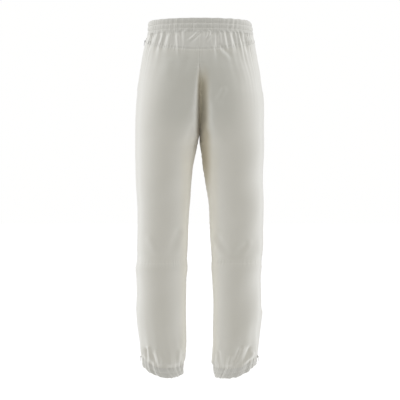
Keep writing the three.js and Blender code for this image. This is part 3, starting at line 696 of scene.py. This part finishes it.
def fabric(name, colour, rough=0.72, sheen=0.25, weave=0.5, rim_highlight_gain=0.95):
    """A fine plain weave, a little uneven in tone, with a faint sheen, a painted rim highlight, painted shade in the
    weave, between the legs and on the seat, and painted warm bounce light on the legs' inner sides.
    """
    m, t, p = material(name)
    L = t.links.new
    uv = node(t, "ShaderNodeUVMap", _uv_map="cloth")
    xyz = node(t, "ShaderNodeSeparateXYZ")
    L(uv.outputs[0], xyz.inputs[0])
    # warp and weft threads, 0.42 mm apart
    waves = []
    for axis in (0, 1):
        k = node(t, "ShaderNodeMath", _operation="MULTIPLY")
        k.inputs[1].default_value = 2 * math.pi / 0.00084
        L(xyz.outputs[axis], k.inputs[0])
        s = node(t, "ShaderNodeMath", _operation="SINE")
        L(k.outputs[0], s.inputs[0])
        waves.append(s)
    both = node(t, "ShaderNodeMath", _operation="MULTIPLY")
    L(waves[0].outputs[0], both.inputs[0])
    L(waves[1].outputs[0], both.inputs[1])
    co = node(t, "ShaderNodeTexCoord")
    fine = node(t, "ShaderNodeTexNoise", Scale=900.0, Detail=3.0)
    L(co.outputs["Object"], fine.inputs["Vector"])
    broad = node(t, "ShaderNodeTexNoise", Scale=7.0, Detail=4.0, Roughness=0.55)
    L(co.outputs["Object"], broad.inputs["Vector"])
    tone = node(t, "ShaderNodeMapRange", **{"From Min": 0.3, "From Max": 0.7, "To Min": 0.0, "To Max": 1.0})
    L(broad.outputs["Fac"], tone.inputs["Value"])
    mix = node(t, "ShaderNodeMix", _data_type="RGBA")
    mix.inputs["A"].default_value = (*[c * 0.975 for c in colour[:2]], colour[2] * 0.965, 1)
    mix.inputs["B"].default_value = (*[min(1, c * 1.02) for c in colour], 1)
    L(tone.outputs[0], mix.inputs["Factor"])
    # painted shade: the low points of the weave are made a little darker in colour
    shade = node(t, "ShaderNodeMapRange", **{"From Min": -1.0, "From Max": 1.0, "To Min": 0.955, "To Max": 1.0})
    L(both.outputs[0], shade.inputs["Value"])
    dark = node(t, "ShaderNodeMix", _data_type="RGBA", _blend_type="MULTIPLY")
    dark.inputs["Factor"].default_value = 1.0
    L(mix.outputs["Result"], dark.inputs["A"])
    grey = node(t, "ShaderNodeCombineColor")
    for i in range(3):
        L(shade.outputs[0], grey.inputs[i])
    L(grey.outputs[0], dark.inputs["B"])
    # painted rim highlight: the base colour is made paler where the cloth turns away from the view
    turn = node(t, "ShaderNodeLayerWeight", Blend=0.5)
    rise = node(t, "ShaderNodeMapRange", **{"From Min": 0.0, "From Max": 0.56, "To Min": 0.0, "To Max": rim_highlight_gain})
    L(turn.outputs["Facing"], rise.inputs["Value"])
    # painted shade between the legs: the cloth's colour is darkened and warmed in the cleft and on the inner thighs,
    # where no light comes through from behind
    place = node(t, "ShaderNodeSeparateXYZ")
    L(co.outputs["Object"], place.inputs[0])

    def ramp(axis, a, b):
        n = node(t, "ShaderNodeMapRange", _interpolation_type="SMOOTHSTEP", **{"From Min": a, "From Max": b})
        L(place.outputs[axis], n.inputs["Value"])
        return n.outputs[0]

    def product(*parts):
        out = parts[0]
        for q in parts[1:]:
            n = node(t, "ShaderNodeMath", _operation="MULTIPLY")
            L(out, n.inputs[0])
            L(q, n.inputs[1])
            out = n.outputs[0]
        return out

    cleft = product(ramp(0, -0.036, -0.014), ramp(0, 0.010, -0.001), ramp(1, -0.02, 0.03), ramp(2, 0.690, 0.730), ramp(2, 0.922, 0.850))
    inner = product(ramp(0, -0.042, -0.016), ramp(0, 0.006, -0.002), ramp(1, -0.03, 0.0), ramp(2, 0.500, 0.640), ramp(2, 0.735, 0.700))
    deep = node(t, "ShaderNodeMath", _operation="ADD", _use_clamp=True)
    L(cleft, deep.inputs[0])
    L(inner, deep.inputs[1])
    left = node(t, "ShaderNodeMath", _operation="SUBTRACT", _use_clamp=True)
    left.inputs[0].default_value = 1.0
    L(deep.outputs[0], left.inputs[1])
    painted_rim_highlight = node(t, "ShaderNodeMix", _data_type="RGBA")
    painted_rim_highlight.inputs["B"].default_value = (0.965, 0.957, 0.912, 1)
    L(product(rise.outputs[0], left.outputs[0]), painted_rim_highlight.inputs["Factor"])
    L(dark.outputs["Result"], painted_rim_highlight.inputs["A"])
    painted_warm_shade = node(t, "ShaderNodeMix", _data_type="RGBA", _blend_type="MULTIPLY")
    painted_warm_shade.inputs["B"].default_value = (0.90, 0.84, 0.73, 1)
    L(deep.outputs[0], painted_warm_shade.inputs["Factor"])
    L(painted_rim_highlight.outputs["Result"], painted_warm_shade.inputs["A"])
    # painted shade on the seat's middle; painted warm bounce light on the legs' inner sides
    seat = product(ramp(2, 0.68, 0.80), ramp(2, 0.985, 0.920), ramp(1, 0.0, 0.06), ramp(0, -0.150, -0.070), ramp(0, 0.150, 0.070))
    bounce_light_mask = product(ramp(2, 0.74, 0.62), ramp(2, 0.02, 0.10), ramp(0, -0.066, -0.040), ramp(0, 0.066, 0.040))
    last = painted_warm_shade.outputs["Result"]
    for amount, tint in ((seat, (0.895, 0.905, 0.905, 1)), (bounce_light_mask, (1.0, 0.985, 0.945, 1))):
        n = node(t, "ShaderNodeMix", _data_type="RGBA", _blend_type="MULTIPLY")
        n.inputs["B"].default_value = tint
        L(amount, n.inputs["Factor"])
        L(last, n.inputs["A"])
        last = n.outputs["Result"]
    L(last, p.inputs["Base Color"])
    r = node(t, "ShaderNodeMapRange", **{"To Min": rough - 0.06, "To Max": rough + 0.06})
    L(broad.outputs["Fac"], r.inputs["Value"])
    L(r.outputs[0], p.inputs["Roughness"])
    b1 = node(t, "ShaderNodeBump", Strength=weave, Distance=0.00012)
    L(both.outputs[0], b1.inputs["Height"])
    b2 = node(t, "ShaderNodeBump", Strength=0.25, Distance=0.0004)
    L(fine.outputs["Fac"], b2.inputs["Height"])
    L(b1.outputs[0], b2.inputs["Normal"])
    creases = node(t, "ShaderNodeTexNoise", Scale=60.0, Detail=3.0, Roughness=0.5)
    L(co.outputs["Object"], creases.inputs["Vector"])
    b3 = node(t, "ShaderNodeBump", Strength=0.10, Distance=0.003)
    L(creases.outputs["Fac"], b3.inputs["Height"])
    L(b2.outputs[0], b3.inputs["Normal"])
    L(b3.outputs[0], p.inputs["Normal"])
    p.inputs["Sheen Weight"].default_value = sheen
    p.inputs["Sheen Roughness"].default_value = 0.45
    p.inputs["Specular IOR Level"].default_value = 0.35
    return m


def plain(name, colour, rough, metal=0.0, grain=0.0, scale=400.0):
    m, t, p = material(name)
    L = t.links.new
    co = node(t, "ShaderNodeTexCoord")
    n = node(t, "ShaderNodeTexNoise", Scale=scale, Detail=4.0)
    L(co.outputs["Object"], n.inputs["Vector"])
    mix = node(t, "ShaderNodeMix", _data_type="RGBA")
    mix.inputs["A"].default_value = (*[c * 0.9 for c in colour], 1)
    mix.inputs["B"].default_value = (*[min(1, c * 1.06) for c in colour], 1)
    L(n.outputs["Fac"], mix.inputs["Factor"])
    L(mix.outputs["Result"], p.inputs["Base Color"])
    r = node(t, "ShaderNodeMapRange", **{"To Min": rough - 0.08, "To Max": rough + 0.08})
    L(n.outputs["Fac"], r.inputs["Value"])
    L(r.outputs[0], p.inputs["Roughness"])
    b = node(t, "ShaderNodeBump", Strength=grain, Distance=0.0003)
    L(n.outputs["Fac"], b.inputs["Height"])
    L(b.outputs[0], p.inputs["Normal"])
    p.inputs["Metallic"].default_value = metal
    return m


SHELL_RGB = (0.640, 0.622, 0.562)
shell = fabric("shell_weave", SHELL_RGB)
# painted shade: the back yoke gets a darker copy of the shell weave
yoke_shaded_weave = fabric("shell_weave_doubled", (0.608, 0.597, 0.550))
# painted shade: the waistband and cuff casings get a darker copy of the shell weave, with less painted rim highlight
casing = fabric("shell_weave_casing_shaded", (0.590, 0.580, 0.538), rim_highlight_gain=0.72)
lining = fabric("pocket_lining", (0.56, 0.54, 0.49), 0.8, 0.1)
rubber = plain("knitted_elastic", (0.62, 0.61, 0.57), 0.8, 0, 0.5, 700)
tape = plain("zip_tape_weave", (0.50, 0.49, 0.45), 0.8, 0, 0.5, 900)
coil = plain("zip_coil_nylon", (0.44, 0.43, 0.40), 0.45, 0, 0.2, 300)
metal = plain("painted_zip_metal", (0.40, 0.40, 0.39), 0.4, 0.25, 0.1, 500)
pale_metal = plain("painted_zip_metal_pale", (0.62, 0.605, 0.56), 0.45, 0.1, 0.1, 500)
thread = plain("stitch_thread", (0.62, 0.605, 0.55), 0.6, 0, 0.3, 1500)

for o in PIECES.values():
    o.data.materials.append(rubber if "elastic" in o.name else yoke_shaded_weave if "yoke" in o.name else casing if "waistband" in o.name or "cuff" in o.name else shell)

# ---------------------------------------------------------------- stitching: short thread stitches lying in the fabric
def stitches(name, path, pitch=3.0, length=2.1, radius=0.32, bend=None):
    """path: points in mm with their outward normals. Each stitch is a small rounded bar along the path."""
    pts, nrm = path
    seg = np.linalg.norm(np.diff(pts, axis=0), axis=1)
    s = np.concatenate([[0], np.cumsum(seg)])
    count = int(s[-1] / pitch)
    if count < 1:
        return None
    verts, faces = [], []
    ring = 5
    shape = [(-0.5, 0.35), (-0.36, 0.9), (0.0, 1.0), (0.36, 0.9), (0.5, 0.35)]
    for i in range(count):
        mid = (i + 0.5) * pitch
        q = [mid + k * length for k, _ in shape]
        P = np.stack([np.interp(q, s, pts[:, c]) for c in range(3)], 1)
        Nn = np.stack([np.interp(q, s, nrm[:, c]) for c in range(3)], 1)
        Nn /= np.linalg.norm(Nn, axis=1, keepdims=True)
        T = P[-1] - P[0]
        T /= np.linalg.norm(T) + 1e-9
        base = len(verts)
        for (k, w), p, n_ in zip(shape, P, Nn):
            B = np.cross(T, n_)
            B /= np.linalg.norm(B) + 1e-9
            lift = 0.12 - 0.5 * abs(k) ** 2
            for j in range(ring):
                a = 2 * math.pi * j / ring
                verts.append((p + n_ * lift + (B * math.cos(a) + n_ * math.sin(a)) * radius * w) * MM)
        for k in range(len(shape) - 1):
            for j in range(ring):
                a, b = base + k * ring + j, base + k * ring + (j + 1) % ring
                faces.append((a, b, b + ring, a + ring))
        faces.append(tuple(base + j for j in range(ring))[::-1])
        faces.append(tuple(base + (len(shape) - 1) * ring + j for j in range(ring)))
    mesh = bpy.data.meshes.new(name)
    mesh.from_pydata([tuple(v) for v in verts], [], faces)
    mesh.polygons.foreach_set("use_smooth", np.ones(len(faces), bool))
    mesh.update()
    o = bpy.data.objects.new(name, mesh)
    bpy.context.scene.collection.objects.link(o)
    o.data.materials.append(thread)
    return o


def along(f, v, u):
    """Points and outward normals of a surface function along a line of its parameters."""
    v, u = np.broadcast_arrays(np.asarray(v, float), np.asarray(u, float))
    P = np.stack(f(v, u), -1)
    e = 1e-3
    N = np.cross(np.stack(f(v, np.clip(u + e, 0, 1)), -1) - np.stack(f(v, np.clip(u - e, 0, 1)), -1),
                 np.stack(f(v + e, u), -1) - np.stack(f(v - e, u), -1))
    N /= np.linalg.norm(N, axis=-1, keepdims=True) + 1e-12
    out = P - np.array([0, MID_Y, 0])
    cx = 100.0 * np.sign(P[:, 0]) * (P[:, 2] < 720)
    out = np.stack([P[:, 0] - cx, P[:, 1] - MID_Y, 0 * cx], -1)
    N *= np.where((N * out).sum(-1) < 0, -1, 1)[:, None]
    return P, N


def leg_line(side, th, z):
    """Points and normals along a line on a leg, given as angles and heights."""
    th, z = np.broadcast_arrays(np.asarray(th, float), np.asarray(z, float))
    P = np.stack(surface(side, th, z), -1)
    e = 0.004
    A = np.stack(surface(side, th + e, z), -1) - np.stack(surface(side, th - e, z), -1)
    B = np.stack(surface(side, th, z + 0.5), -1) - np.stack(surface(side, th, z - 0.5), -1)
    N = np.cross(A, B)
    N /= np.linalg.norm(N, axis=-1, keepdims=True) + 1e-12
    cx, a, bf, bb, cy = section(side, z)
    out = np.stack([side * np.cos(th) / a, np.sin(th) / bb, 0 * th], -1)
    N *= np.where((N * out).sum(-1) < 0, -1, 1)[:, None]
    return P, N


STITCH = {}
share = np.linspace(0.004, 0.996, 700)
for z_row, tag in ((ROW_1, "upper"), (ROW_2, "lower")):
    v = 0.46 * (z_row - BAND_LOW - 0.05) / (TOP_Z - 2.3 - BAND_LOW - 0.05)
    for where, behind in (("back", True), ("front", False)):
        STITCH[f"waistband_{where}_{tag}_stitching"] = (stitches(f"waistband_{where}_{tag}_stitching", along(band(behind), v, share)), "pelvis")
STITCH["yoke_topstitching"] = (stitches("yoke_topstitching", along(yoke, 1 - 4.5 / 46, np.linspace(0.01, 0.99, 600))), "pelvis")
for word, side in LEFT_RIGHT:
    c = cuff(side)
    STITCH[f"{word}_cuff_stitching"] = (stitches(f"{word}_cuff_stitching", along(c, 0.46 * (CUFF - 14.5) / (CUFF - 2.45), np.linspace(0.02, 0.98, 500))), f"{word}_shank")

# ---------------------------------------------------------------- what rides on what
HIP_FROM = {1: Vector((0.0, 0.0, 0.700)), -1: Vector((0.0, 0.0, 0.700))}


def hip_blend(o):
    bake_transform(o)


def knee_blend(o):
    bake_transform(o)


for word, side in LEFT_RIGHT:
    o = PIECES[f"{word}_seat_and_thigh_back"]
    hip_blend(o)
    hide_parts(f"{word}_seat_panel", f"{word}_thigh_back_panel")
    o = PIECES[f"{word}_hip_and_thigh_front"]
    hip_blend(o)
    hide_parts(f"{word}_hip_front_panel", f"{word}_thigh_front_panel")
    for w in ("back", "front"):
        o = PIECES[f"{word}_knee_{w}"]
        knee_blend(o)
        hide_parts(f"{word}_knee_{w}_panel")
        o = PIECES[f"{word}_calf_{w}"]
        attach(o, f"{word}_shank")
        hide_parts(f"{word}_calf_{w}_panel")
    o = PIECES[f"{word}_cuff_fabric"]
    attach(o, f"{word}_shank")
    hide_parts(f"{word}_cuff_casing")
    o = PIECES[f"{word}_cuff_elastic_band"]
    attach(o, f"{word}_shank")
    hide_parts(f"{word}_cuff_elastic")


def soft_copy(node_name, name, finish, longest=0.007):
    """A CAD node's own shape, copied and cut into edges no longer than longest."""
    source = NODES[node_name]
    mesh = source.data.copy()
    mesh.name = name
    bm = bmesh.new()
    bm.from_mesh(mesh)
    bm.transform(source.matrix_world)
    bmesh.ops.remove_doubles(bm, verts=bm.verts[:], dist=1e-6)
    bmesh.ops.triangulate(bm, faces=bm.faces[:])
    for _ in range(7):
        long = [e for e in bm.edges if e.calc_length() > longest]
        if not long:
            break
        bmesh.ops.subdivide_edges(bm, edges=long, cuts=1)
        bmesh.ops.triangulate(bm, faces=bm.faces[:])
    bm.to_mesh(mesh)
    bm.free()
    mesh.materials.clear()
    mesh.materials.append(finish)
    o = bpy.data.objects.new(name, mesh)
    bpy.context.scene.collection.objects.link(o)
    return o


for word, side in LEFT_RIGHT:
    for node_name, finish, slot_name in (("pocket_zip_tape_back", tape, "zip_tape"), ("pocket_zip_tape_front", tape, "zip_tape"),
                                         ("pocket_zip_chain", coil, "zip_coil"), ("pocket_bag", lining, "lining_fabric")):
        o = soft_copy(f"{word}_{node_name}", f"{word}_{node_name}_sewn", finish)
        hip_blend(o)
        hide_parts(f"{word}_{node_name}")
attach(PIECES["back_yoke_fabric"], "pelvis")
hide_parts("back_yoke")
for w in ("back", "front"):
    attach(PIECES[f"waistband_{w}_fabric"], "pelvis")
    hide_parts(f"waistband_{w}")
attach(PIECES["waist_elastic_band"], "pelvis")
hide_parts("waist_elastic")
for o, body in STITCH.values():
    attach(o, body)

# each piece's stored flat width and length, read and not used further
for name, o in PIECES.items():
    w, l = o["cloth_flat"]

for name, o in NODES.items():
    use = shell
    if "elastic" in name:
        use = rubber
    elif "tape" in name:
        use = tape
    elif "chain" in name:
        use = coil
    elif "ankle" in name and ("slider" in name or "pull" in name):
        use = pale_metal
    elif "slider" in name or "pull" in name or "eyelet" in name:
        use = metal
    elif "bag" in name or "flap" in name:
        use = lining
    for s_ in o.material_slots:
        s_.material = use

# ---------------------------------------------------------------- stage, lights, camera
def floor_material():
    """Pale paper. It looks as bright as the air above it, and still takes soft shadows."""
    m, t, p = material("floor_paper")
    L = t.links.new
    n = node(t, "ShaderNodeTexNoise", Scale=3.0, Detail=2.0)
    mix = node(t, "ShaderNodeMix", _data_type="RGBA")
    mix.inputs["A"].default_value = (0.88, 0.88, 0.88, 1)
    mix.inputs["B"].default_value = (0.90, 0.90, 0.90, 1)
    L(n.outputs["Fac"], mix.inputs["Factor"])
    L(mix.outputs["Result"], p.inputs["Base Color"])
    p.inputs["Roughness"].default_value = 0.95
    path = node(t, "ShaderNodeLightPath")
    k = node(t, "ShaderNodeMath", _operation="MULTIPLY")
    k.inputs[1].default_value = 0.45
    L(path.outputs["Is Camera Ray"], k.inputs[0])
    p.inputs["Emission Color"].default_value = (1, 1, 1, 1)
    L(k.outputs[0], p.inputs["Emission Strength"])
    return m


FLOOR = -0.22
mesh = bpy.data.meshes.new("floor")
mesh.from_pydata([(-40, -40, FLOOR), (40, -40, FLOOR), (40, 40, FLOOR), (-40, 40, FLOOR)], [], [(0, 1, 2, 3)])
floor = bpy.data.objects.new("floor", mesh)
bpy.context.scene.collection.objects.link(floor)
floor.data.materials.append(floor_material())

world = bpy.data.worlds.new("soft")
bpy.context.scene.world = world
world.use_nodes = True
w_tree = world.node_tree
w_back = w_tree.nodes["Background"]
w_back.inputs[0].default_value = (1.0, 1.0, 0.995, 1)
w_path = w_tree.nodes.new("ShaderNodeLightPath")
w_level = w_tree.nodes.new("ShaderNodeMapRange")
w_level.inputs["To Min"].default_value = AMBIENT = 0.735
w_level.inputs["To Max"].default_value = 1.0
w_tree.links.new(w_path.outputs["Is Camera Ray"], w_level.inputs["Value"])
w_tree.links.new(w_level.outputs[0], w_back.inputs[1])


def softbox(name, place, target, w, h, watts, tint=(1, 1, 1)):
    l = bpy.data.lights.new(name, "AREA")
    l.shape = "RECTANGLE"
    l.size, l.size_y = w, h
    l.energy = watts
    l.color = tint
    o = bpy.data.objects.new(name, l)
    o.location = place
    o.rotation_euler = (Vector(target) - Vector(place)).to_track_quat("-Z", "Y").to_euler()
    o.visible_camera = False
    bpy.context.scene.collection.objects.link(o)


softbox("left_light", (2.8, 0.25, 0.8), (0.1, 0, 0.5), 3.4, 2.8, 16)
softbox("right_light", (-2.8, 0.25, 0.8), (-0.1, 0, 0.5), 3.4, 2.8, 13)

cam = bpy.data.cameras.new("camera")
camera = bpy.data.objects.new("camera", cam)
DIST = 4.3
camera.location = (-0.0015, DIST, 0.5230)
camera.rotation_euler = (math.radians(90), 0, math.radians(180))
cam.sensor_width = 36
cam.lens = 36 * (DIST + 0.011) / 1.1636 * 0.984
bpy.context.scene.collection.objects.link(camera)
bpy.context.scene.camera = camera
bpy.context.scene.view_settings.view_transform = "Standard"
